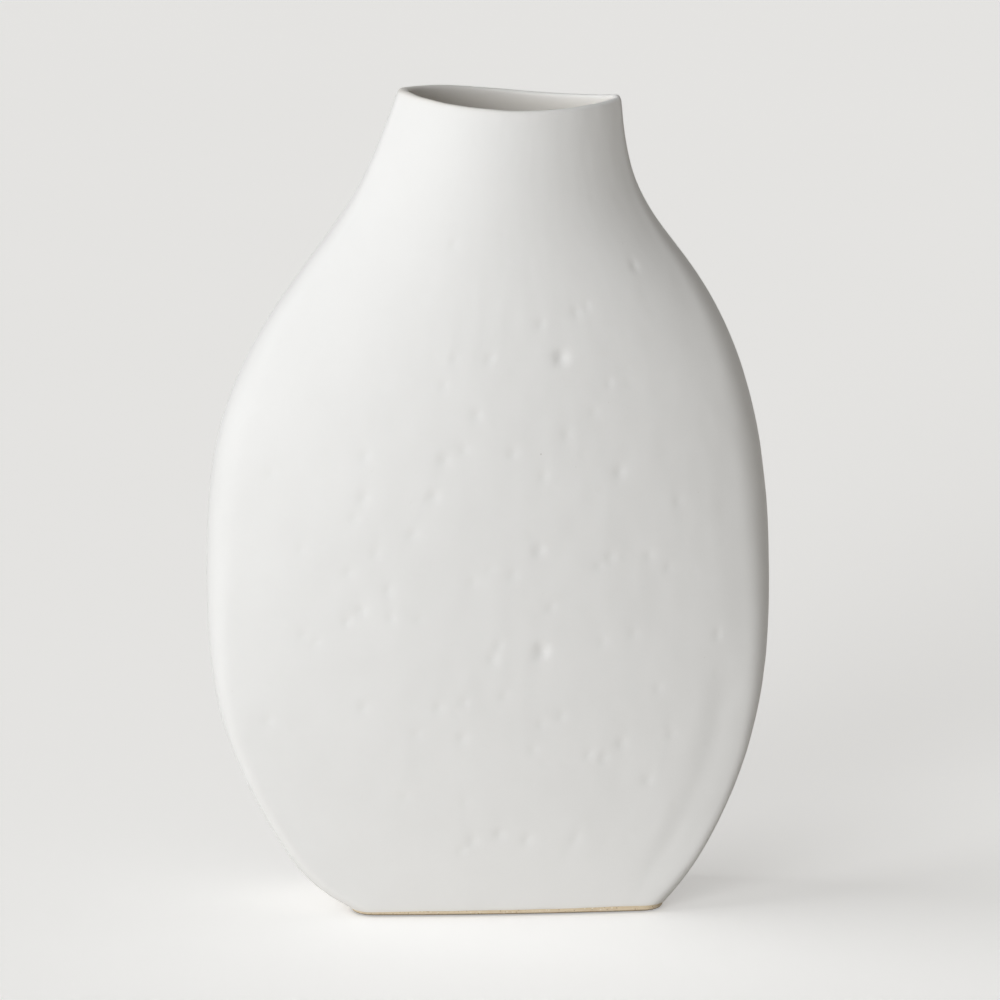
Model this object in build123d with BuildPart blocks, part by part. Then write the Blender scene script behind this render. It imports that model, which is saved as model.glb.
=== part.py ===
"""A slab-built pillow vase: two curved clay walls luted along their side seams and standing on a base slab,
with a clay coil pressed into each inside joint and a matt glaze outside and in.

The vase stands on z = 0, with its origin under the middle of the foot. The broad faces look along -Y and +Y,
and +X is to the right of someone who faces the front wall. All sizes are in millimetres.
"""

import os
from math import hypot, sqrt

from build123d import *

# Rise from each level of the outline to the next, from the table up to the taller tip of the rim
FOOT_BEVEL_RISE = 2.5
FLARE_RISE = 7.5
HAUNCH_RISE = 30.0
HIP_RISE = 44.0
BELLY_RISE = 54.0
SHOULDER_RISE = 72.0
SLOPE_RISE = 50.0
NECK_RISE = 40.0
COLLAR_RISE = 20.0
MOUTH_RISE = 20.0

# Reach of the outline to the left of the foot's middle
FOOT_LEFT = 63.5
FLARE_LEFT = 75.0
HAUNCH_LEFT = 96.8
HIP_LEFT = 115.3
BELLY_LEFT = 120.5
SHOULDER_LEFT = 111.6
SLOPE_LEFT = 85.0
NECK_LEFT = 57.4
COLLAR_LEFT = 48.4
MOUTH_LEFT = 41.2

# Reach of the outline to the right of the foot's middle
FOOT_RIGHT = 66.8
FLARE_RIGHT = 72.8
HAUNCH_RIGHT = 90.3
HIP_RIGHT = 105.2
BELLY_RIGHT = 110.0
SHOULDER_RIGHT = 102.8
SLOPE_RIGHT = 81.9
NECK_RIGHT = 55.7
COLLAR_RIGHT = 50.4
MOUTH_RIGHT = 48.9

# Front-to-back depth of the narrow side, between the corners before they are rounded
FOOT_SIDE = 55.0
BELLY_SIDE = 40.0
SHOULDER_SIDE = 28.0
NECK_SIDE = 13.0
MOUTH_SIDE = 8.0

# How far each broad face swells out past those corners
FOOT_CROWN = 2.0
BELLY_CROWN = 22.0
SHOULDER_CROWN = 27.0
NECK_CROWN = 25.0
MOUTH_CROWN = 22.0

# Rounding of the corners between the broad faces and the narrow side
FOOT_ROUNDING = 10.0
HAUNCH_ROUNDING = 4.5
HIP_ROUNDING = 8.0
BELLY_ROUNDING = 15.0
SHOULDER_ROUNDING = 19.0
NECK_ROUNDING = 8.0
MOUTH_ROUNDING = 3.5
LEAST_ROUNDING = 1.0

# The rim stands highest at its left tip and dips along each wall, not evenly, as cut by hand;
# the drops are from the left tip, at offsets from the foot's middle
RIGHT_TIP_DROP = 3.5
FRONT_DIP_DROP = 5.0
FRONT_DIP_OFFSET = 4.0
BACK_CREST_DROP = 3.8
BACK_CREST_OFFSET = -6.0
BACK_DIP_DROP = 6.0
BACK_DIP_OFFSET = 25.0

# Clay and glaze
WALL = 3.5
LIP = 2.0
GLAZE = 0.5
SLAB_THICKNESS = 8.0
FOOT_BEVEL = 3.0
BARE_BAND = 0.5
SEAM_COIL_WIDTH = 17.0
SEAM_COIL_THICKNESS = 12.0
SEAM_COIL_PROUD = 4.0
SEAM_COIL_LENGTH = 235.0
FLOOR_COIL_WIDTH = 8.0
FLOOR_COIL_RISE = 9.0
FLOOR_COIL_LIP = 1.0

# Room left around the rim for the tools that cut it
CUTTING_ROOM = 10.0

# Levels and insets that follow from the sizes above
foot_level = FOOT_BEVEL_RISE
flare_level = foot_level + FLARE_RISE
haunch_level = flare_level + HAUNCH_RISE
hip_level = haunch_level + HIP_RISE
belly_level = hip_level + BELLY_RISE
shoulder_level = belly_level + SHOULDER_RISE
slope_level = shoulder_level + SLOPE_RISE
neck_level = slope_level + NECK_RISE
collar_level = neck_level + COLLAR_RISE
rim_level = collar_level + MOUTH_RISE
glaze_line = foot_level + BARE_BAND
front_dip = (FRONT_DIP_OFFSET, FRONT_DIP_DROP)
back_crest = (BACK_CREST_OFFSET, BACK_CREST_DROP)
back_dip = (BACK_DIP_OFFSET, BACK_DIP_DROP)
bore_inset = GLAZE + WALL
lip_inset = GLAZE + LIP
seam_coil_top = SLAB_THICKNESS + SEAM_COIL_LENGTH
floor_coil_top = SLAB_THICKNESS + FLOOR_COIL_RISE


def upright_profile(*points):
    """A smooth upright curve through points given as (distance, level)."""
    with BuildLine(Plane.XZ) as curve:
        Spline(*points)
    return curve.edge()


left_outline = upright_profile(
    (FOOT_LEFT, foot_level),
    (FLARE_LEFT, flare_level),
    (HAUNCH_LEFT, haunch_level),
    (HIP_LEFT, hip_level),
    (BELLY_LEFT, belly_level),
    (SHOULDER_LEFT, shoulder_level),
    (SLOPE_LEFT, slope_level),
    (NECK_LEFT, neck_level),
    (COLLAR_LEFT, collar_level),
    (MOUTH_LEFT, rim_level),
)
right_outline = upright_profile(
    (FOOT_RIGHT, foot_level),
    (FLARE_RIGHT, flare_level),
    (HAUNCH_RIGHT, haunch_level),
    (HIP_RIGHT, hip_level),
    (BELLY_RIGHT, belly_level),
    (SHOULDER_RIGHT, shoulder_level),
    (SLOPE_RIGHT, slope_level),
    (NECK_RIGHT, neck_level),
    (COLLAR_RIGHT, collar_level),
    (MOUTH_RIGHT, rim_level),
)
side_profile = upright_profile(
    (FOOT_SIDE / 2, foot_level),
    (BELLY_SIDE / 2, belly_level),
    (SHOULDER_SIDE / 2, shoulder_level),
    (NECK_SIDE / 2, neck_level),
    (MOUTH_SIDE / 2, rim_level),
)
crown_profile = upright_profile(
    (FOOT_CROWN, foot_level),
    (BELLY_CROWN, belly_level),
    (SHOULDER_CROWN, shoulder_level),
    (NECK_CROWN, neck_level),
    (MOUTH_CROWN, rim_level),
)
rounding_profile = upright_profile(
    (FOOT_ROUNDING, foot_level),
    (HAUNCH_ROUNDING, haunch_level),
    (HIP_ROUNDING, hip_level),
    (BELLY_ROUNDING, belly_level),
    (SHOULDER_ROUNDING, shoulder_level),
    (NECK_ROUNDING, neck_level),
    (MOUTH_ROUNDING, rim_level),
)


def at_level(profile, level):
    """Distance and slope of an upright profile at a level, carried on straight past its ends."""
    low, high = 0.0, 1.0
    while high - low > 1e-9:
        middle = (low + high) / 2
        if (profile @ middle).Z < level:
            low = middle
        else:
            high = middle
    point = profile @ high
    direction = profile % high
    slope = direction.X / direction.Z
    return point.X + slope * (level - point.Z), slope


def section_reach(level, inset):
    """The left and right ends of the level section, an inset inside the glazed surface."""
    left, left_slope = at_level(left_outline, level)
    right, right_slope = at_level(right_outline, level)
    return inset * hypot(1, left_slope) - left, right - inset * hypot(1, right_slope)


def vase_section(level, inset):
    """The level section: two crowned faces and two narrow sides, with rounded corners."""
    outer_left, outer_right = section_reach(level, 0)
    left, right = section_reach(level, inset)
    outer_side, side_slope = at_level(side_profile, level)
    crown, crown_slope = at_level(crown_profile, level)
    rounding, _ = at_level(rounding_profile, level)

    # The inset face runs parallel to the outer one, so both arcs have the same centre
    outer_half = (outer_right - outer_left) / 2
    half = (right - left) / 2
    face_inset = inset * hypot(1, side_slope + crown_slope)
    radius = (outer_half**2 + crown**2) / (2 * crown)
    face = outer_side + crown - face_inset
    side = face - (radius - face_inset) + sqrt((radius - face_inset) ** 2 - half**2)
    middle = (left + right) / 2

    with BuildSketch(Plane.XY.offset(level)) as section:
        with BuildLine():
            ThreePointArc((left, -side), (middle, -face), (right, -side))
            Line((right, -side), (right, side))
            ThreePointArc((right, side), (middle, face), (left, side))
            Line((left, side), (left, -side))
        make_face()
        fillet(section.vertices(), max(rounding - inset, LEAST_ROUNDING))
    return section.sketch


def between(low, high, *levels):
    """The levels that lie between two others, with those two, from the bottom up."""
    return [low, *[level for level in levels if low < level < high], high]


named_levels = [
    flare_level,
    haunch_level,
    hip_level,
    belly_level,
    shoulder_level,
    slope_level,
    neck_level,
    collar_level,
    rim_level,
]
form_top = rim_level + CUTTING_ROOM
form_levels = between(foot_level, form_top, *named_levels)
middle_levels = [(low + high) / 2 for low, high in zip(form_levels, form_levels[1:])]
section_levels = sorted(form_levels + middle_levels)


def vase_form(inset, rim_inset):
    """The vase as one solid form inside the glazed surface, by an inset that changes from the neck to the rim."""
    sections = []
    for level in section_levels:
        thinning = max(0.0, (level - neck_level) / (rim_level - neck_level))
        sections.append(vase_section(level, inset + thinning * (rim_inset - inset)))
    with BuildPart() as form:
        loft(sections)
    return form.part


def above(form, level):
    """The part of a form above a level."""
    with BuildPart() as piece:
        add(form)
        split(bisect_by=Plane.XY.offset(level), keep=Keep.TOP)
    return piece.part


def below(form, level):
    """The part of a form below a level."""
    with BuildPart() as piece:
        add(form)
        split(bisect_by=Plane.XY.offset(level), keep=Keep.BOTTOM)
    return piece.part


def above_rim(drop, *dips):
    """What lies above one wall's rim, seen from the front, with the rim lowered by a drop."""
    left, right = -MOUTH_LEFT, MOUTH_RIGHT
    left_tip = rim_level - drop
    right_tip = left_tip - RIGHT_TIP_DROP
    top = form_top + CUTTING_ROOM
    dip_points = [(offset, left_tip - dip) for offset, dip in dips]
    with BuildSketch(Plane.XZ) as waste:
        with BuildLine():
            rim = Spline((left, left_tip), *dip_points, (right, right_tip))
            Polyline(
                rim @ 1,
                (right + CUTTING_ROOM, right_tip),
                (right + CUTTING_ROOM, top),
                (left - CUTTING_ROOM, top),
                (left - CUTTING_ROOM, left_tip),
                rim @ 0,
            )
        make_face()
    return waste.sketch


def rim_waste(drop):
    """Everything above the front and back rims, lowered by a drop."""
    reach = MOUTH_SIDE / 2 + MOUTH_CROWN + CUTTING_ROOM
    with BuildPart() as waste:
        extrude(above_rim(drop, front_dip), amount=reach)
        extrude(above_rim(drop, back_crest, back_dip), amount=-reach)
    return waste.part


def seam_roll(end, swell):
    """A roll pressed flat into the left (0) or right (1) end of the bore, swollen by the glaze over it."""
    half_thickness = SEAM_COIL_THICKNESS / 2
    seat_inset = bore_inset + SEAM_COIL_PROUD - half_thickness
    with BuildPart() as roll:
        for level in between(foot_level, seam_coil_top + swell, *section_levels):
            with BuildSketch(Plane.XY.offset(level)):
                with Locations((section_reach(level, seat_inset)[end], 0)):
                    Ellipse(half_thickness + swell, SEAM_COIL_WIDTH / 2 + swell)
        loft()
    return roll.part


def floor_well(swell):
    """The well inside the floor coil, drawn in by the glaze over it."""
    bottom = SLAB_THICKNESS + swell
    top = floor_coil_top + swell
    with BuildPart() as well:
        loft(
            [
                vase_section(bottom, bore_inset + FLOOR_COIL_WIDTH + swell),
                vase_section(top, bore_inset + FLOOR_COIL_LIP + swell),
            ],
            ruled=True,
        )
    return well.part


# Forms that the pieces are cut from
glazed_form = vase_form(0, 0)
clay_form = vase_form(GLAZE, GLAZE)
bore_form = vase_form(bore_inset, lip_inset)
liner_form = vase_form(bore_inset + GLAZE, lip_inset + GLAZE)
chamber = above(bore_form, SLAB_THICKNESS)
glaze_rim_waste = rim_waste(0)
clay_rim_waste = rim_waste(GLAZE)

# Slab under the walls, with a bare bevelled foot
with BuildPart() as base_slab:
    add(below(clay_form, SLAB_THICKNESS))
    bevel_top = vase_section(foot_level, GLAZE)
    bevel_bottom = vase_section(foot_level, GLAZE + FOOT_BEVEL).moved(Location((0, 0, -foot_level)))
    loft([bevel_bottom, bevel_top], ruled=True)
base_slab.part.label = "base_slab"

# Both walls as one tube, parted along the side seams
with BuildPart() as tube:
    add(above(clay_form, SLAB_THICKNESS))
    add(bore_form, mode=Mode.SUBTRACT)
    add(clay_rim_waste, mode=Mode.SUBTRACT)

with BuildPart() as front_wall:
    add(tube.part)
    split(bisect_by=Plane.XZ, keep=Keep.TOP)
front_wall.part.label = "front_wall"

with BuildPart() as back_wall:
    add(tube.part)
    split(bisect_by=Plane.XZ, keep=Keep.BOTTOM)
back_wall.part.label = "back_wall"

# Coils pressed into the inside joints: one up each side seam, then one round the floor
with BuildPart() as left_seam_coil:
    add(seam_roll(0, 0))
    add(chamber, mode=Mode.INTERSECT)
left_seam_coil.part.label = "left_seam_coil"

with BuildPart() as right_seam_coil:
    add(seam_roll(1, 0))
    add(chamber, mode=Mode.INTERSECT)
right_seam_coil.part.label = "right_seam_coil"

with BuildPart() as floor_coil:
    add(below(chamber, floor_coil_top))
    add(floor_well(0), mode=Mode.SUBTRACT)
    add([left_seam_coil.part, right_seam_coil.part], mode=Mode.SUBTRACT)
floor_coil.part.label = "floor_coil"

# Glaze over the outside and the lip, down to the bare foot
with BuildPart() as clay_core:
    add(clay_form)
    add(clay_rim_waste, mode=Mode.SUBTRACT)

with BuildPart() as outer_glaze:
    add(above(glazed_form, glaze_line))
    add(glaze_rim_waste, mode=Mode.SUBTRACT)
    add(clay_core.part, mode=Mode.SUBTRACT)
    add(bore_form, mode=Mode.SUBTRACT)
outer_glaze.part.label = "outer_glaze"

# Glaze over the inside, the coils and the floor
with BuildPart() as hollow:
    add(above(liner_form, floor_coil_top + GLAZE))
    add(floor_well(GLAZE))
    add([seam_roll(0, GLAZE), seam_roll(1, GLAZE)], mode=Mode.SUBTRACT)

with BuildPart() as liner_glaze:
    add(chamber)
    add(glaze_rim_waste, mode=Mode.SUBTRACT)
    add(hollow.part, mode=Mode.SUBTRACT)
    add([left_seam_coil.part, right_seam_coil.part, floor_coil.part], mode=Mode.SUBTRACT)
liner_glaze.part.label = "liner_glaze"

os.makedirs("parts", exist_ok=True)
export_step(base_slab.part, "parts/base_slab.step")
export_step(front_wall.part, "parts/front_wall.step")
export_step(back_wall.part, "parts/back_wall.step")
export_step(left_seam_coil.part, "parts/left_seam_coil.step")
export_step(right_seam_coil.part, "parts/right_seam_coil.step")
export_step(floor_coil.part, "parts/floor_coil.step")
export_step(outer_glaze.part, "parts/outer_glaze.step")
export_step(liner_glaze.part, "parts/liner_glaze.step")
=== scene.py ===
"""Looks of the pillow vase: a dented matt white glaze, a soft lip and a bare clay foot, on a pale floor.

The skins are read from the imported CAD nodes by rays, so every piece lies where its solid does. The scene is
in metres. Sizes with MM beside them are metres already. The lists of places, levels and profiles hold
millimetres and are turned into metres where they are used.
"""

import math
import random

import bmesh
import bpy
import numpy as np
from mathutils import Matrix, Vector
from mathutils.bvhtree import BVHTree


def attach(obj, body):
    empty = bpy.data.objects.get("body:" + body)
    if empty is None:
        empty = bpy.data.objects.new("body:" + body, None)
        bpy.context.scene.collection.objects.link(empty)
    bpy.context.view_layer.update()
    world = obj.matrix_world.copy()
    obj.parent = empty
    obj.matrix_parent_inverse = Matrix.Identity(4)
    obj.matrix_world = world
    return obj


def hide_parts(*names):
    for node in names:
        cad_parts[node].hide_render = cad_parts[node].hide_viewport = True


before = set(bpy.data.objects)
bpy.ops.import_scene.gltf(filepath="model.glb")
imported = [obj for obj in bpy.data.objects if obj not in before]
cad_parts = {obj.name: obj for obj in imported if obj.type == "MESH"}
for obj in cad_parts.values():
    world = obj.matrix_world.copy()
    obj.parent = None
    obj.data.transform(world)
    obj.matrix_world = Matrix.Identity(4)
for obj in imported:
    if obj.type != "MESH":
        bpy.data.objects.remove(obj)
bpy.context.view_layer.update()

MM = 0.001

# How finely the skins are divided, and how far the back's columns crowd towards the seams
RAYS = 1440
FRONT_COLUMNS = 230
BACK_COLUMNS = 140
COLUMNS = FRONT_COLUMNS + BACK_COLUMNS
BACK_CROWDING = 0.5
BODY_ROWS = 236
LIP_ROWS = 10
LINER_ROWS = 110
CLAY_ROWS = 60

# Levels at which the walls are sampled, up to just below the lowest dip of the rim
BELOW_RIM = 331.5
OUTER_LEVELS = np.linspace(3.3, BELOW_RIM, 236) * MM
INNER_LEVELS = np.linspace(9.0, BELOW_RIM, 216) * MM
BORE_LEVELS = np.linspace(8.2, BELOW_RIM, 80) * MM

# Blurs that take the solids' facets away, in levels or columns
LEVEL_BLUR = 2.5
COLUMN_BLUR = 1.6
RIM_BLUR = 4
SLAB_BLUR = 1.5

# Rows that give a wall's lean at its top, and the most steps it is carried on below its lowest level
LEAN_ROWS = 6
STEPS_BELOW = 4

# Rim: tries to find its height, where across the lip it is felt, and its waver
RIM_TRIES = 4
LIP_MIDDLE = 0.4
RIM_WAVER = 0.12 * MM
RIM_WAVES = (5, 8, 13)
RIM_SEED = 3

# Lip: its height, and the rows of the body that are blurred with it, apart from a few at each end
LIP_HEIGHT = 1.5 * MM
LIP_BLEND_ROWS = 6
LIP_BLUR = 0.8
LIP_KEPT_ROWS = 2

# Clay that fills the left tip of the mouth: how much, how wide and how far down
TIP_FILL = 1.6 * MM
TIP_FILL_WIDTH = 5.0 * MM
TIP_FILL_DEPTH = 25.0 * MM

# The outer glaze inside the mouth, as drops from the start of the lip and tucks into the wall
SKIRT_PROFILE = [(1.5, 0.0), (3.0, 0.0), (5.0, 0.05), (7.0, 0.25)]

# Lower edge of the outer glaze: its height in the middle, rise to the right, waver and rolled section
GLAZE_EDGE = 2.55 * MM
GLAZE_EDGE_TILT = 0.45 * MM
GLAZE_EDGE_HALF = 65 * MM
GLAZE_EDGE_WAVER = 0.15 * MM
GLAZE_EDGE_WAVES = (4, 7, 11, 18, 29)
GLAZE_EDGE_SEED = 8
GLAZE_EDGE_ROLL = 0.25 * MM
GLAZE_EDGE_PROFILE = [(0.45, 0.3), (0.36, 0.03), (0.12, 0.0)]

# Liner glaze: its start below the lip, tuck behind the outer glaze, and floor as outline shares and levels
LINER_TOP = 1.0 * MM
LINER_TUCK = 0.25 * MM
LINER_TUCK_DEPTH = 6 * MM
LINER_FLOOR = [(0.97, 8.6), (0.7, 8.5), (0.35, 8.5), (0.02, 8.5)]

# Hidden clay walls: how far they stay below the lip and behind the outer surface
CLAY_TOP = 1.0 * MM
CLAY_INSET = 1.3 * MM

# Base slab: levels of its side, columns to a point, and shares of its outline for its sole and its top
SLAB_LEVELS = (2.7, 5.0, 7.9)
SLAB_COLUMN_STEP = 2
SOLE_SHARES = (0.02, 0.4, 0.8, 0.97)
SLAB_TOP_SHARES = (0.97, 0.5, 0.02)

# The foot's edge as inset from the slab's side, height and share of painted shade on the shaded undercut:
# flat, undercut, rounded
FOOT_PROFILE = [
    (5.0, 0.0, 0.0), (4.4, 0.25, 0.5), (2.0, 0.3, 1.0), (1.2, 0.35, 1.0), (0.8, 0.5, 1.0),
    (0.45, 0.75, 1.0), (0.2, 1.1, 0.1), (0.05, 1.6, 0.0), (0.0, 2.6, 0.0),
]

# Dents in four sizes, given as radius and depth, and their places on the front, given as x and height
DENT_SIZES = {
    "large": (2.9, 1.05),
    "strong": (2.4, 0.54),
    "medium": (2.2, 0.45),
    "small": (1.9, 0.37),
}
FRONT_DENTS = {
    "large": [(22, 236), (15, 115)],
    "strong": [(3, 199), (-29, 180), (13, 158), (-58, 92), (-2, 37), (46, 188), (-5, 112)],
    "medium": [
        (29, 255), (-12, 214), (-56, 196), (-25, 196), (-82, 157), (-48, 141), (43, 154), (18, 134),
        (-77, 119), (-27, 92), (-18, 79), (11, 73), (48, 75), (-13, 34), (9, 34), (-57, 180), (-61, 171),
        (-63, 149), (-58, 133), (-64, 129), (-82, 121), (-94, 187), (-37, 165), (-96, 85),
    ],
    "small": [
        (33, 256), (14, 250), (-20, 237), (-7, 237), (-25, 226), (42, 225), (36, 214), (25, 205), (15, 189),
        (71, 175), (53, 270), (-20, 282), (-17, 200), (-53, 157), (38, 150), (58, 154), (3, 148), (-13, 145),
        (-6, 150), (-35, 130), (-46, 130), (-3, 118), (-17, 94), (-1, 97), (15, 85), (23, 87), (-36, 81),
        (34, 70), (41, 69), (52, 121), (39, 118), (67, 148), (87, 117), (-41, 53), (-17, 51), (29, 34),
        (-18, 29), (58, 58), (69, 78), (63, 97),
    ],
}

# Dents scattered over the back: numbers, usual height and its spread, height limits and changes of size
BACK_DENTS = {"large": 2, "strong": 8, "medium": 26, "small": 110}
BACK_DENT_HEIGHT = (0.42, 0.22)
BACK_DENT_LIMITS = (0.06, 0.92)
BACK_DENT_RADII = (0.8, 1.2)
BACK_DENT_DEPTHS = (0.7, 1.1)
BACK_DENT_SEED = 11

# A shallow fold low on the front: its way in from the right edge, width, depth and heights
FOLD_OFFSET = 17.0 * MM
FOLD_WIDTH = 6.0 * MM
FOLD_DEPTH = 0.5 * MM
FOLD_MIDDLE = 62.0 * MM
FOLD_REACH = 48.0 * MM

# Faint lumps, with their size in rows and columns, and faint upright streaks; both fade in the neck
LUMP_ROWS = 2.6
LUMP_COLUMNS = 2.4
LUMP_DEPTH = 0.05 * MM
LUMP_SEED = 17
STREAK_KNOTS = 7
STREAK_COLUMNS = 1.6
STREAK_DEPTH = 0.035 * MM
STREAK_SEED = 5

# The right side leans back a little, so that the front turns away softly; this fades at mouth and foot
SIDE_LEAN = 1.6 * MM
SIDE_REACH = 30.0 * MM
SIDE_REACH_SHARE = 0.4
SIDE_TOP = 318.0 * MM
SIDE_TOP_FADE = 40 * MM
SIDE_FOOT = 6.0 * MM
SIDE_FOOT_FADE = 35 * MM

# Where the glaze is thin: on the outside of the lip's crest, most on the left, and at the lower edge
THIN_LIP = 0.45
THIN_LIP_ROWS = 3.0
THIN_LIP_SHIFT = 2
THIN_LIP_MIDDLE = 0.4
THIN_LIP_SPAN = 90 * MM
THIN_LIP_LEFT = 0.8
THIN_EDGE = 0.8
THIN_EDGE_ROWS = 2.5

# Colours of the vase; pairs are the two ends of a cloudy change
WHITE_GLAZE_TONES = ((0.81, 0.811, 0.806, 1), (0.86, 0.861, 0.859, 1))
# Liner and mouth tones: a lighter, warmer copy of the white glaze, painted light and warm shade inside the
# mouth
LINER_GLAZE_PAINTED_LIGHT_TONES = ((0.90, 0.872, 0.828, 1), (0.94, 0.915, 0.875, 1))
MOUTH_GLAZE_PAINTED_LIGHT_TONE = (0.92, 0.894, 0.852, 1)
THIN_GLAZE_TONE = (0.78, 0.70, 0.58, 1)
SPECK_TONE = (0.12, 0.08, 0.05, 1)
PINHOLE_TONE = (0.45, 0.40, 0.33, 1)
CLAY_TONES = ((0.66, 0.53, 0.36, 1), (0.84, 0.73, 0.56, 1))
DARK_GRAIN_TONE = (0.42, 0.30, 0.18, 1)
PALE_GRAIN_TONE = (0.88, 0.82, 0.70, 1)
# Painted shade: the dark line under the foot's tan band, where the undercut lies in shade
PAINTED_SHADE_TONE = (0.15, 0.11, 0.06, 1)

# Strengths of the glaze's marks, depths of the fine relief, and roughness and gloss of the surfaces
THIN_GLAZE_PATCHES = (0.35, 1.0)
SPECK_STRENGTH = 0.8
PINHOLE_STRENGTH = 0.35
GRAIN_DEPTH = 0.02 * MM
DIMPLE_DEPTH = 0.08 * MM
PINHOLE_DEPTH = 0.1 * MM
SAND_DEPTH = 0.08 * MM
GLAZE_ROUGHNESS = (0.5, 0.64)
GLAZE_GLOSS = 0.2
CLAY_ROUGHNESS = (0.78, 0.95)
CLAY_GLOSS = 0.25
FLOOR_ROUGHNESS = 0.9
FLOOR_GLOSS = 0.1

# Floor: its half length in metres, gap below the vase, colours as seen and as they light the vase, and glow
FLOOR_REACH = 8
FLOOR_GAP = 0.1 * MM
FLOOR_TONES = ((0.83, 0.828, 0.822, 1), (0.85, 0.848, 0.842, 1))
FLOOR_BOUNCE_TONE = (0.72, 0.69, 0.645, 1)
FLOOR_GLOW = 0.06
FLOOR_GLOW_SEEN = 0.355

# Studio: the light round the vase, the background that the camera sees, and the colour of the lamps
AMBIENT = 0.19
AMBIENT_COLOUR = (1.0, 0.955, 0.88, 1)
BACKGROUND = 0.8
STUDIO_WHITE = (1.0, 0.995, 0.985, 1)
LAMP_COLOUR = (0.98, 0.992, 1.0)

# Camera: where it stands and what it looks at in metres, its lens and sensor, and its range in metres
CAMERA_PLACE = (-0.1413, -2.5242, 0.7759)
CAMERA_TARGET = (-0.00014, 0, 0.16896)
CAMERA_LENS = 228.5
CAMERA_SENSOR = 36
CAMERA_RANGE = 100


# Reading the CAD walls


def search_tree(*nodes):
    """A tree over the faces of CAD nodes, for rays."""
    shape = bmesh.new()
    for node in nodes:
        shape.from_mesh(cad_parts[node].data)
    tree = BVHTree.FromBMesh(shape)
    shape.free()
    return tree


def ring(tree, level, from_outside):
    """A node's level section as points, from the left seam round by the front."""
    points = []
    for step in range(RAYS):
        angle = math.pi + 2 * math.pi * step / RAYS
        outwards = Vector((math.cos(angle), math.sin(angle), 0))
        middle = Vector((0, 0, level))
        if from_outside:
            hit = tree.ray_cast(middle + outwards, -outwards)[0]
        else:
            hit = tree.ray_cast(middle, outwards)[0]
        points.append((hit.x, hit.y))
    return np.array(points)


def along(path, shares):
    """Points at given shares of a path's length."""
    steps = np.linalg.norm(np.diff(path, axis=0), axis=1)
    lengths = np.concatenate([[0], np.cumsum(steps)])
    wanted = shares * lengths[-1]
    return np.stack([np.interp(wanted, lengths, path[:, axis]) for axis in range(2)], axis=1)


def columns(points):
    """A ring's points, spread evenly over the front and more thinly over the back."""
    front_shares = np.arange(FRONT_COLUMNS) / FRONT_COLUMNS
    back_shares = np.arange(BACK_COLUMNS) / BACK_COLUMNS
    back_shares = back_shares - BACK_CROWDING * np.sin(2 * math.pi * back_shares) / (2 * math.pi)
    half = RAYS // 2
    front = points[: half + 1]
    back = np.concatenate([points[half:], points[:1]])
    return np.concatenate([along(front, front_shares), along(back, back_shares)])


def blurred(grid, width, axis, closed):
    """A grid blurred along one axis, which is closed on itself or carried on past its ends."""
    reach = int(3 * width) + 1
    offsets = np.arange(-reach, reach + 1)
    weights = np.exp(-0.5 * (offsets / width) ** 2)
    weights /= weights.sum()
    grid = np.moveaxis(grid, axis, 0)
    count = len(grid)
    if closed:
        padded = grid[np.arange(-reach, count + reach) % count]
    else:
        before = 2 * grid[:1] - grid[reach:0:-1]
        after = 2 * grid[-1:] - grid[-2 : -reach - 2 : -1]
        padded = np.concatenate([before, grid, after])
    result = sum(weight * padded[start : start + count] for start, weight in enumerate(weights))
    return np.moveaxis(result, 0, axis)


def smoothed(grid, width, axis, closed):
    """A grid without its facets: blurred, with most of the shape that the blur took put back."""
    first = blurred(grid, width, axis, closed)
    return first + blurred(grid - first, width, axis, closed)


def wall(nodes, levels, from_outside):
    """One side of a CAD wall as points over level and column."""
    tree = search_tree(*nodes)
    grid = np.stack([columns(ring(tree, level, from_outside)) for level in levels])
    grid = smoothed(grid, LEVEL_BLUR, 0, False)
    return smoothed(grid, COLUMN_BLUR, 1, True)


def leaned(grid, levels):
    """A wall with its right side moved back, and its outline from the front unchanged."""
    from_edge = grid[:, :, 0].max(axis=1)[:, None] - grid[:, :, 0]
    reach = np.minimum(SIDE_REACH, SIDE_REACH_SHARE * np.ptp(grid[:, :, 0], axis=1))[:, None]
    below_top = np.clip((SIDE_TOP - levels) / SIDE_TOP_FADE, 0, 1)
    above_foot = np.clip((levels - SIDE_FOOT) / SIDE_FOOT_FADE, 0, 1)
    strength = below_top * above_foot
    grid = grid.copy()
    grid[:, :, 1] += SIDE_LEAN * strength[:, None] * np.clip(1 - from_edge / reach, 0, 1) ** 2
    return grid


def at_levels(grid, levels, wanted):
    """A wall's point at one wanted level in each column, carried on straight past its ends."""
    spacing = levels[1] - levels[0]
    top_lean = (grid[-1] - grid[-1 - LEAN_ROWS]) / (LEAN_ROWS * spacing)
    place = np.clip((wanted - levels[0]) / spacing, -STEPS_BELOW, len(levels) - 1)
    low = np.clip(np.floor(place).astype(int), 0, len(levels) - 2)
    share = (place - low)[:, None]
    column = np.arange(grid.shape[1])
    points = grid[low, column] * (1 - share) + grid[low + 1, column] * share
    return points + top_lean * np.maximum(wanted - levels[-1], 0)[:, None]


def raised(points, level):
    """Flat points at a level or at one level each."""
    return np.column_stack([points, np.broadcast_to(level, len(points))])


def ring_inwards(points):
    """Unit directions into a ring, across its outline."""
    run = np.roll(points, -1, axis=0) - np.roll(points, 1, axis=0)
    inwards = np.stack([-run[:, 1], run[:, 0]], axis=1)
    return inwards / np.linalg.norm(inwards, axis=1)[:, None]


def wander(size, waves, seed):
    """A gentle closed wave round the columns, of a given size."""
    chance = np.random.default_rng(seed)
    turn = 2 * math.pi * np.arange(COLUMNS) / COLUMNS
    total = sum(np.sin(wave * turn + chance.uniform(0, 2 * math.pi)) / wave**0.5 for wave in waves)
    return size * total / np.abs(total).max()


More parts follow.
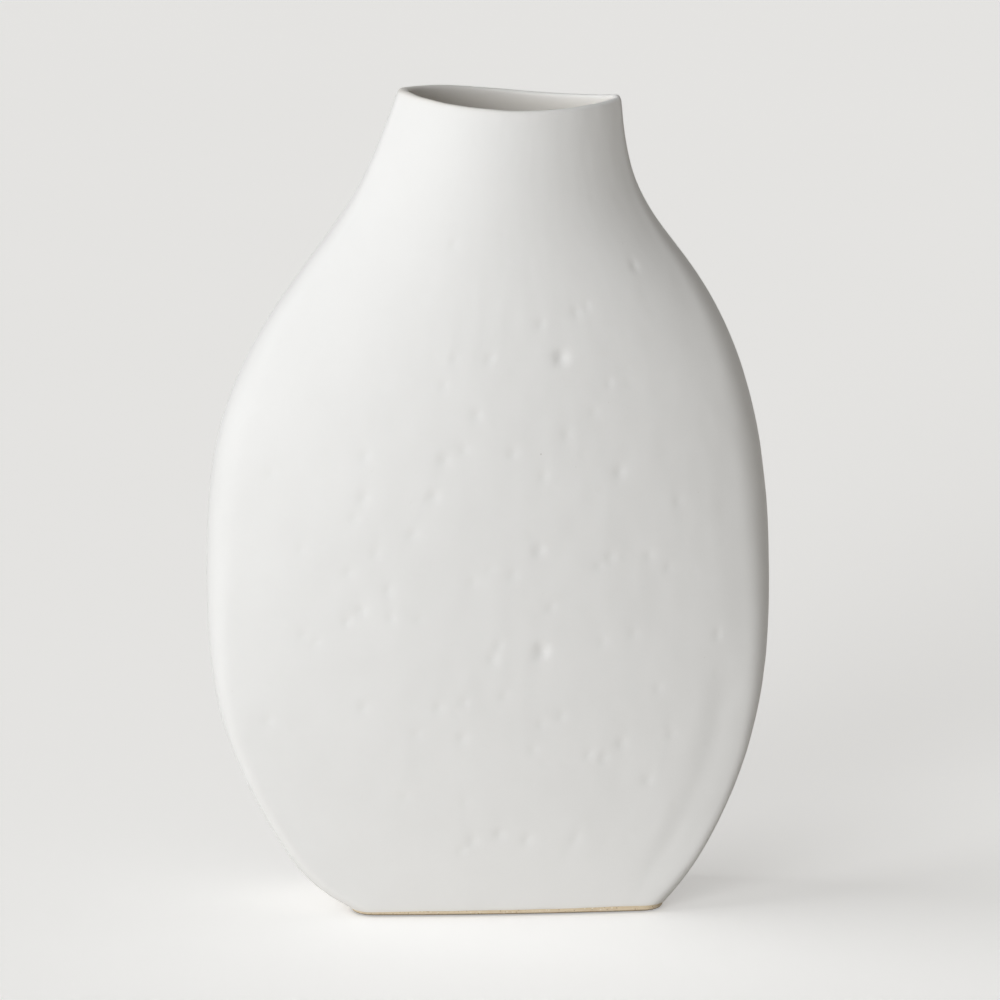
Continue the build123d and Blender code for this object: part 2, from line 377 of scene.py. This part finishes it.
outer = leaned(wall(["outer_glaze"], OUTER_LEVELS, True), OUTER_LEVELS)
inner = wall(["liner_glaze"], INNER_LEVELS, False)
bore = wall(["front_wall", "back_wall"], BORE_LEVELS, False)


def rim_levels():
    """Height of the rim in each column, felt from above on the middle of the lip."""
    tree = search_tree("outer_glaze")
    down = Vector((0, 0, -1))
    heights = np.full(COLUMNS, OUTER_LEVELS[-1])
    for _ in range(RIM_TRIES):
        outside = at_levels(outer, OUTER_LEVELS, heights)
        inside = at_levels(inner, INNER_LEVELS, heights)
        for column, (x, y) in enumerate(outside * (1 - LIP_MIDDLE) + inside * LIP_MIDDLE):
            metre_above = Vector((x, y, 1))
            hit = tree.ray_cast(metre_above, down)[0]
            if hit and hit.z > OUTER_LEVELS[-1]:
                heights[column] = hit.z
    return blurred(heights, RIM_BLUR, 0, True)


rim = rim_levels() + wander(RIM_WAVER, RIM_WAVES, RIM_SEED)
lip_start = rim - LIP_HEIGHT


def inside_line(level):
    """The inside of the liner at one level in each column, held off the left seam near the rim."""
    line = at_levels(inner, INNER_LEVELS, level)
    nearness = np.clip(1 - (lip_start - level) / TIP_FILL_DEPTH, 0, 1)
    from_tip = line[:, 0] - line[:, 0].min()
    line[:, 0] += TIP_FILL * nearness * np.exp(-((from_tip / TIP_FILL_WIDTH) ** 2))
    return line


# Dents, fold and faint texture of the outer glaze


def skin_normals(rows):
    """Outward unit normals of a skin given as rows of columns."""
    across = np.roll(rows, -1, axis=1) - np.roll(rows, 1, axis=1)
    upwards = np.gradient(rows, axis=0)
    normals = np.cross(across, upwards)
    return normals / np.linalg.norm(normals, axis=2)[:, :, None]


def press_dent(rows, depths, centre, radius, depth):
    """Adds one soft round dent to a map of depths."""
    squared_distance = ((rows - centre) ** 2).sum(axis=2)
    depths += depth * MM * np.exp(-squared_distance / (radius * MM) ** 2)


def press_front_dents(rows, depths):
    """Adds the front's dents, each at the point nearest to its place."""
    front = rows[:, :FRONT_COLUMNS]
    for size, places in FRONT_DENTS.items():
        for x, height in places:
            miss = (front[:, :, 0] - x * MM) ** 2 + (front[:, :, 2] - height * MM) ** 2
            centre = front[np.unravel_index(miss.argmin(), miss.shape)]
            press_dent(rows, depths, centre, *DENT_SIZES[size])


def press_back_dents(rows, depths):
    """Adds dents at random places of the back."""
    chance = random.Random(BACK_DENT_SEED)
    lowest, highest = BACK_DENT_LIMITS
    for size, count in BACK_DENTS.items():
        radius, depth = DENT_SIZES[size]
        for _ in range(count):
            column = chance.randrange(FRONT_COLUMNS, COLUMNS)
            row = int(len(rows) * min(max(chance.gauss(*BACK_DENT_HEIGHT), lowest), highest))
            radius_share = chance.uniform(*BACK_DENT_RADII)
            depth_share = chance.uniform(*BACK_DENT_DEPTHS)
            press_dent(rows, depths, rows[row, column], radius * radius_share, depth * depth_share)


def press_fold(rows, depths):
    """Adds the shallow fold beside the right edge of the front."""
    front = rows[:, :FRONT_COLUMNS]
    from_edge = front[:, :, 0].max(axis=1)[:, None] - front[:, :, 0]
    across = ((from_edge - FOLD_OFFSET) / FOLD_WIDTH) ** 2
    upwards = ((front[:, :, 2] - FOLD_MIDDLE) / FOLD_REACH) ** 4
    depths[:, :FRONT_COLUMNS] += FOLD_DEPTH * np.exp(-across - upwards)


def faint_texture(rows):
    """Depths of the faint lumps and streaks, which fade where the vase is narrow."""
    lumps = np.random.default_rng(LUMP_SEED).normal(size=rows.shape[:2])
    lumps = blurred(blurred(lumps, LUMP_ROWS, 0, False), LUMP_COLUMNS, 1, True)
    strands = np.random.default_rng(STREAK_SEED).normal(size=(STREAK_KNOTS, COLUMNS))
    strands = blurred(strands, STREAK_COLUMNS, 1, True) * STREAK_COLUMNS**0.5
    knots = np.linspace(0, 1, STREAK_KNOTS)
    shares = np.linspace(0, 1, len(rows))
    streaks = np.stack([np.interp(shares, knots, strands[:, column]) for column in range(COLUMNS)], axis=1)
    width = np.ptp(rows[:, :, 0], axis=1)
    texture = STREAK_DEPTH * streaks + LUMP_DEPTH * lumps / lumps.std()
    return texture * ((width / width.max()) ** 2)[:, None]


def pressed_depths(rows):
    """How far each point of the body is pressed in."""
    depths = np.zeros(rows.shape[:2])
    press_front_dents(rows, depths)
    press_back_dents(rows, depths)
    press_fold(rows, depths)
    return depths + faint_texture(rows)


# Skins, as rows of points from one end to the other


def glaze_rows():
    """The outer glaze from its lower edge up the body, over the lip and a little way down inside."""
    x_share = at_levels(outer, OUTER_LEVELS, np.full(COLUMNS, GLAZE_EDGE))[:, 0] / GLAZE_EDGE_HALF
    waver = wander(GLAZE_EDGE_WAVER, GLAZE_EDGE_WAVES, GLAZE_EDGE_SEED)
    edge = GLAZE_EDGE + GLAZE_EDGE_TILT * x_share + waver
    body_start = edge + GLAZE_EDGE_ROLL
    body = []
    for share in np.linspace(0, 1, BODY_ROWS):
        level = body_start + share * (lip_start - body_start)
        body.append(raised(at_levels(outer, OUTER_LEVELS, level), level))
    body = np.array(body)
    body -= skin_normals(body) * pressed_depths(body)[:, :, None]

    foot_line = body[0, :, :2]
    inwards = ring_inwards(foot_line)
    edge_rows = []
    for inset, height in GLAZE_EDGE_PROFILE:
        edge_rows.append(raised(foot_line + inwards * inset * MM, edge + height * MM))

    outside = body[-1, :, :2]
    inside = inside_line(lip_start)
    lip = []
    for step in range(1, LIP_ROWS + 1):
        turn = math.pi * step / LIP_ROWS
        across = outside + (inside - outside) * (1 - math.cos(turn)) / 2
        lip.append(raised(across, lip_start + LIP_HEIGHT * math.sin(turn)))
    skirt = []
    for drop, tuck in SKIRT_PROFILE:
        level = lip_start - drop * MM
        line = inside_line(level)
        skirt.append(raised(line - ring_inwards(line) * tuck * MM, level))
    top = np.concatenate([body[-LIP_BLEND_ROWS:], lip, skirt])
    changed = slice(LIP_KEPT_ROWS, -LIP_KEPT_ROWS)
    top[changed] = blurred(top, LIP_BLUR, 0, False)[changed]
    return np.concatenate([edge_rows, body[:-LIP_BLEND_ROWS], top])


def liner_rows():
    """The liner glaze from behind the lip down to the floor."""
    top = lip_start - LINER_TOP
    rows = []
    for share in np.linspace(0, 1, LINER_ROWS):
        level = top + share * (INNER_LEVELS[0] - top)
        line = inside_line(level)
        below = (top - level).mean()
        tuck = LINER_TUCK * max(0.0, 1 - below / LINER_TUCK_DEPTH)
        rows.append(raised(line - ring_inwards(line) * tuck, level))
    outline = rows[-1][:, :2]
    middle = outline.mean(axis=0)
    for share, level in LINER_FLOOR:
        rows.append(raised(middle + (outline - middle) * share, level * MM))
    return np.array(rows)


def clay_rows(first, last):
    """A clay wall between two columns, set back far enough under the glaze that no dent cuts into it."""
    used = np.arange(first, last + 1) % COLUMNS
    bottom = BORE_LEVELS[0]
    rows = []
    for share in np.linspace(0, 1, CLAY_ROWS):
        level = bottom + share * (lip_start - CLAY_TOP - bottom)
        outside = at_levels(outer, OUTER_LEVELS, level)
        outside = outside + ring_inwards(outside) * CLAY_INSET
        inside = at_levels(bore, BORE_LEVELS, level)
        rows.append(np.concatenate([raised(outside, level)[used], raised(inside, level)[used[::-1]]]))
    return np.array(rows)


def foot_rows():
    """The base slab: flat underneath, a rounded foot, then its side up to the walls and its top."""
    tree = search_tree("base_slab")
    outlines = []
    for level in SLAB_LEVELS:
        outline = blurred(columns(ring(tree, level * MM, True)), SLAB_BLUR, 0, True)
        outlines.append(outline[::SLAB_COLUMN_STEP])
    line = outlines[0]
    inwards = ring_inwards(line)
    middle = line.mean(axis=0)
    sole = line + inwards * FOOT_PROFILE[0][0] * MM
    rows = [raised(middle + (sole - middle) * share, 0.0) for share in SOLE_SHARES]
    for inset, height, _ in FOOT_PROFILE:
        rows.append(raised(line + inwards * inset * MM, height * MM))
    for level, outline in zip(SLAB_LEVELS[1:], outlines[1:]):
        rows.append(raised(outline, level * MM))
    for share in SLAB_TOP_SHARES:
        rows.append(raised(middle + (outlines[-1] - middle) * share, SLAB_LEVELS[-1] * MM))
    return np.array(rows)


def skin_object(name, rows, material, cap_first, cap_last):
    """A mesh object over rows of closed columns, with its small end holes filled where asked."""
    row_count, column_count = rows.shape[:2]
    faces = []
    for row in range(row_count - 1):
        for column in range(column_count):
            after = (column + 1) % column_count
            low, high = row * column_count, (row + 1) * column_count
            faces.append((low + column, low + after, high + after, high + column))
    if cap_first:
        faces.append(tuple(range(column_count - 1, -1, -1)))
    if cap_last:
        start = (row_count - 1) * column_count
        faces.append(tuple(range(start, start + column_count)))
    mesh = bpy.data.meshes.new(name)
    mesh.from_pydata(rows.reshape(-1, 3).tolist(), [], faces)
    mesh.polygons.foreach_set("use_smooth", [True] * len(faces))
    mesh.materials.append(material)
    piece = bpy.data.objects.new(name, mesh)
    bpy.context.scene.collection.objects.link(piece)
    return piece


# Values kept with the points of a skin, for its material


def store(piece, name, values):
    """Keeps one value for each point of a piece."""
    piece.data.attributes.new(name, "FLOAT", "POINT").data.foreach_set("value", values.ravel())


def rows_past_crest(rows):
    """Rows by which each row of the outer glaze is past the lip's crest, and the x of the crest's points."""
    crest = len(rows) - len(SKIRT_PROFILE) - LIP_ROWS + LIP_ROWS // 2
    return np.arange(len(rows))[:, None] - crest, rows[crest, :, 0]


def thin_glaze(rows):
    """Where the glaze runs thin: on the crest of the lip, most on its left half, and at the lower edge."""
    past_crest, crest_x = rows_past_crest(rows)
    values = np.zeros(rows.shape[:2])
    leftness = np.clip(THIN_LIP_MIDDLE - crest_x / THIN_LIP_SPAN, 0.0, THIN_LIP_LEFT)[None, :]
    values += THIN_LIP * np.exp(-(((past_crest + THIN_LIP_SHIFT) / THIN_LIP_ROWS) ** 2)) * leftness
    values += THIN_EDGE * np.exp(-((np.arange(len(rows))[:, None] / THIN_EDGE_ROWS) ** 2))
    return np.clip(values, 0, 1)


def inside_share(rows):
    """How far the glaze has turned from the crest of the lip into the mouth."""
    past_crest, _ = rows_past_crest(rows)
    return np.broadcast_to(np.clip(past_crest / (LIP_ROWS // 2 + 1), 0, 1), rows.shape[:2])


def painted_foot_shade(rows):
    """Where the clay is painted dark as shade: along the lower edge of the foot, where its undercut lies in
    shade.
    """
    values = np.zeros(rows.shape[:2])
    for step, (_, _, share) in enumerate(FOOT_PROFILE):
        values[len(SOLE_SHARES) + step] = share
    return values


# Materials


def add_node(tree, kind, inputs=None, **settings):
    """A shader node with its settings, its values and its links."""
    made = tree.nodes.new(kind)
    for name, value in settings.items():
        setattr(made, name, value)
    for name, value in (inputs or {}).items():
        if isinstance(value, bpy.types.NodeSocket):
            tree.links.new(value, made.inputs[name])
        else:
            made.inputs[name].default_value = value
    return made


def noise(tree, place, scale, detail=2.0, roughness=0.5):
    """A cloudy value between 0 and 1."""
    values = {"Vector": place, "Scale": scale, "Detail": detail, "Roughness": roughness}
    return add_node(tree, "ShaderNodeTexNoise", values).outputs["Fac"]


def spots(tree, place, scale, radius):
    """1 in the middle of scattered round spots, 0 away from them; radius in shares of a cell."""
    cells = add_node(tree, "ShaderNodeTexVoronoi", {"Vector": place, "Scale": scale})
    values = {
        "Value": cells.outputs["Distance"],
        "From Min": 0.0,
        "From Max": radius,
        "To Min": 1.0,
        "To Max": 0.0,
    }
    return add_node(tree, "ShaderNodeMapRange", values, interpolation_type="SMOOTHSTEP").outputs["Result"]


def between(tree, share, low, high):
    """A value between two others."""
    values = {"Value": share, "To Min": low, "To Max": high}
    return add_node(tree, "ShaderNodeMapRange", values).outputs["Result"]


def times(tree, first, second):
    """The product of two values."""
    return add_node(tree, "ShaderNodeMath", {0: first, 1: second}, operation="MULTIPLY").outputs[0]


def larger(tree, first, second):
    """The larger of two values."""
    return add_node(tree, "ShaderNodeMath", {0: first, 1: second}, operation="MAXIMUM").outputs[0]


def mixed(tree, share, first, second):
    """A colour between two others."""
    values = {0: share, 6: first, 7: second}
    return add_node(tree, "ShaderNodeMix", values, data_type="RGBA").outputs[2]


def stored(tree, name):
    """A value kept with the points of a skin."""
    return add_node(tree, "ShaderNodeAttribute", attribute_name=name).outputs["Fac"]


def bump(tree, height, depth, under=None):
    """A normal pushed by a height, up to a depth, over another normal."""
    values = {"Height": height, "Strength": 1.0, "Distance": depth}
    if under:
        values["Normal"] = under
    return add_node(tree, "ShaderNodeBump", values).outputs["Normal"]


def seen_directly(tree):
    """1 for what the camera sees, straight or in gloss or glass, and 0 for light on the way to a surface."""
    rays = add_node(tree, "ShaderNodeLightPath").outputs
    either = larger(tree, rays["Is Camera Ray"], rays["Is Glossy Ray"])
    return larger(tree, either, rays["Is Transmission Ray"])


def new_material(name):
    """An empty node material, with its tree and its place in the object."""
    material = bpy.data.materials.new(name)
    material.use_nodes = True
    material.node_tree.nodes.clear()
    place = add_node(material.node_tree, "ShaderNodeTexCoord").outputs["Object"]
    return material, material.node_tree, place


def finish_material(tree, values):
    """Joins a principled shader to the material's output."""
    shader = add_node(tree, "ShaderNodeBsdfPrincipled", values)
    add_node(tree, "ShaderNodeOutputMaterial", {"Surface": shader.outputs["BSDF"]})


def glaze_material(name, dark, pale):
    """Matt white glaze: cloudy, lighter and warmer inside the mouth as painted light and warm shade, creamy
    where thin, with dimples, pinholes and dark specks.
    """
    material, tree, place = new_material(name)
    colour = mixed(tree, noise(tree, place, scale=30, detail=4), dark, pale)
    # Painted light and warm shade: the glaze turns lighter and warmer where it runs into the mouth
    colour = mixed(tree, stored(tree, "inside"), colour, MOUTH_GLAZE_PAINTED_LIGHT_TONE)
    thin = stored(tree, "thin_glaze")
    patchy = between(tree, noise(tree, place, scale=140, detail=3), *THIN_GLAZE_PATCHES)
    colour = mixed(tree, times(tree, thin, patchy), colour, THIN_GLAZE_TONE)
    specks = spots(tree, place, scale=42, radius=0.016)
    colour = mixed(tree, times(tree, specks, SPECK_STRENGTH), colour, SPECK_TONE)
    pinholes = spots(tree, place, scale=105, radius=0.03)
    colour = mixed(tree, times(tree, pinholes, PINHOLE_STRENGTH), colour, PINHOLE_TONE)
    dimples = spots(tree, place, scale=62, radius=0.19)
    normal = bump(tree, noise(tree, place, scale=900, detail=3), GRAIN_DEPTH)
    normal = bump(tree, times(tree, dimples, -1.0), DIMPLE_DEPTH, normal)
    normal = bump(tree, times(tree, pinholes, -1.0), PINHOLE_DEPTH, normal)
    finish_material(tree, {
        "Base Color": colour,
        "Roughness": between(tree, noise(tree, place, scale=60, detail=3), *GLAZE_ROUGHNESS),
        "Specular IOR Level": GLAZE_GLOSS,
        "Normal": normal,
    })
    return material


def clay_material():
    """Bare fired clay: sandy tan with fine light and dark grains, and painted shade where the skin says."""
    material, tree, place = new_material("bare_stoneware")
    colour = mixed(tree, noise(tree, place, scale=220, detail=4, roughness=0.65), *CLAY_TONES)
    colour = mixed(tree, spots(tree, place, scale=700, radius=0.32), colour, DARK_GRAIN_TONE)
    colour = mixed(tree, spots(tree, place, scale=520, radius=0.3), colour, PALE_GRAIN_TONE)
    # Painted shade along the foot's lower edge, from the share kept with the skin
    colour = mixed(tree, stored(tree, "painted_shade"), colour, PAINTED_SHADE_TONE)
    sand = noise(tree, place, scale=1500, detail=4, roughness=0.7)
    finish_material(tree, {
        "Base Color": colour,
        "Roughness": between(tree, noise(tree, place, scale=400), *CLAY_ROUGHNESS),
        "Specular IOR Level": CLAY_GLOSS,
        "Normal": bump(tree, sand, SAND_DEPTH),
    })
    return material


def floor_material():
    """A plain pale floor, which sends less light to the vase than the camera sees."""
    material, tree, place = new_material("pale_floor")
    colour = mixed(tree, noise(tree, place, scale=3, detail=3), *FLOOR_TONES)
    seen = seen_directly(tree)
    finish_material(tree, {
        "Base Color": mixed(tree, seen, FLOOR_BOUNCE_TONE, colour),
        "Roughness": FLOOR_ROUGHNESS,
        "Specular IOR Level": FLOOR_GLOSS,
        "Emission Color": STUDIO_WHITE,
        "Emission Strength": between(tree, seen, FLOOR_GLOW, FLOOR_GLOW_SEEN),
    })
    return material


# Pieces

white_glaze = glaze_material("matt_white_glaze", *WHITE_GLAZE_TONES)
# The liner glaze is a lighter, warmer copy of the white glaze: painted light and warm shade inside the mouth
liner_glaze = glaze_material("matt_liner_glaze_painted_light", *LINER_GLAZE_PAINTED_LIGHT_TONES)
stoneware = clay_material()

rows = glaze_rows()
glaze = skin_object("outer_glaze_skin", rows, white_glaze, False, False)
store(glaze, "thin_glaze", thin_glaze(rows))
# Where the outer glaze turns into the mouth, for its painted light and warm shade
store(glaze, "inside", inside_share(rows))
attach(glaze, "root")
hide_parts("outer_glaze")

liner = skin_object("liner_glaze_skin", liner_rows(), liner_glaze, False, True)
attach(liner, "root")
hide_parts("liner_glaze")

rows = foot_rows()
foot = skin_object("base_slab_foot", rows, stoneware, True, True)
# The share of painted shade along the foot's lower edge
store(foot, "painted_shade", painted_foot_shade(rows))
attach(foot, "root")
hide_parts("base_slab")

for name, first, last in (("front_wall", 0, FRONT_COLUMNS), ("back_wall", FRONT_COLUMNS, COLUMNS)):
    clay = skin_object(name + "_clay", clay_rows(first, last), stoneware, True, True)
    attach(clay, "root")
    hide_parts(name)

for name in ("left_seam_coil", "right_seam_coil", "floor_coil"):
    for material_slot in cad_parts[name].material_slots:
        material_slot.material = stoneware

# Floor

corner_signs = ((-1, -1), (1, -1), (1, 1), (-1, 1))
corners = [(x * FLOOR_REACH, y * FLOOR_REACH, -FLOOR_GAP) for x, y in corner_signs]
floor_mesh = bpy.data.meshes.new("studio_floor")
floor_mesh.from_pydata(corners, [], [(0, 1, 2, 3)])
floor_mesh.materials.append(floor_material())
floor = bpy.data.objects.new("studio_floor", floor_mesh)
bpy.context.scene.collection.objects.link(floor)

# World and lights

world = bpy.data.worlds.new("studio")
bpy.context.scene.world = world
world.use_nodes = True
sky = world.node_tree
sky.nodes.clear()
ambient = add_node(sky, "ShaderNodeBackground", {"Color": AMBIENT_COLOUR, "Strength": AMBIENT})
backdrop = add_node(sky, "ShaderNodeBackground", {"Color": STUDIO_WHITE, "Strength": BACKGROUND})
layers = {0: seen_directly(sky), 1: ambient.outputs[0], 2: backdrop.outputs[0]}
surroundings = add_node(sky, "ShaderNodeMixShader", layers)
add_node(sky, "ShaderNodeOutputWorld", {"Surface": surroundings.outputs[0]})


def add_sun(name, azimuth, elevation, softness, energy):
    """A broad even light from a direction, in degrees left or right of the front and above the floor."""
    data = bpy.data.lights.new(name, "SUN")
    data.energy = energy
    data.angle = math.radians(softness)
    data.color = LAMP_COLOUR
    light = bpy.data.objects.new(name, data)
    turn, rise = math.radians(azimuth), math.radians(elevation)
    direction = Vector((math.sin(turn) * math.cos(rise), -math.cos(turn) * math.cos(rise), math.sin(rise)))
    light.rotation_euler = direction.to_track_quat("Z", "Y").to_euler()
    bpy.context.scene.collection.objects.link(light)


add_sun("front", azimuth=-36, elevation=5, softness=36, energy=2.7)
add_sun("left", azimuth=-88, elevation=42, softness=38, energy=0.8)
add_sun("overhead", azimuth=-30, elevation=60, softness=80, energy=0.12)

# Camera

camera_data = bpy.data.cameras.new("camera")
camera_data.lens = CAMERA_LENS
camera_data.sensor_width = CAMERA_SENSOR
camera_data.clip_end = CAMERA_RANGE
camera = bpy.data.objects.new("camera", camera_data)
camera.location = CAMERA_PLACE
towards = Vector(CAMERA_TARGET) - camera.location
camera.rotation_euler = towards.to_track_quat("-Z", "Y").to_euler()
bpy.context.scene.collection.objects.link(camera)
bpy.context.scene.camera = camera
bpy.context.scene.view_settings.view_transform = "Standard"
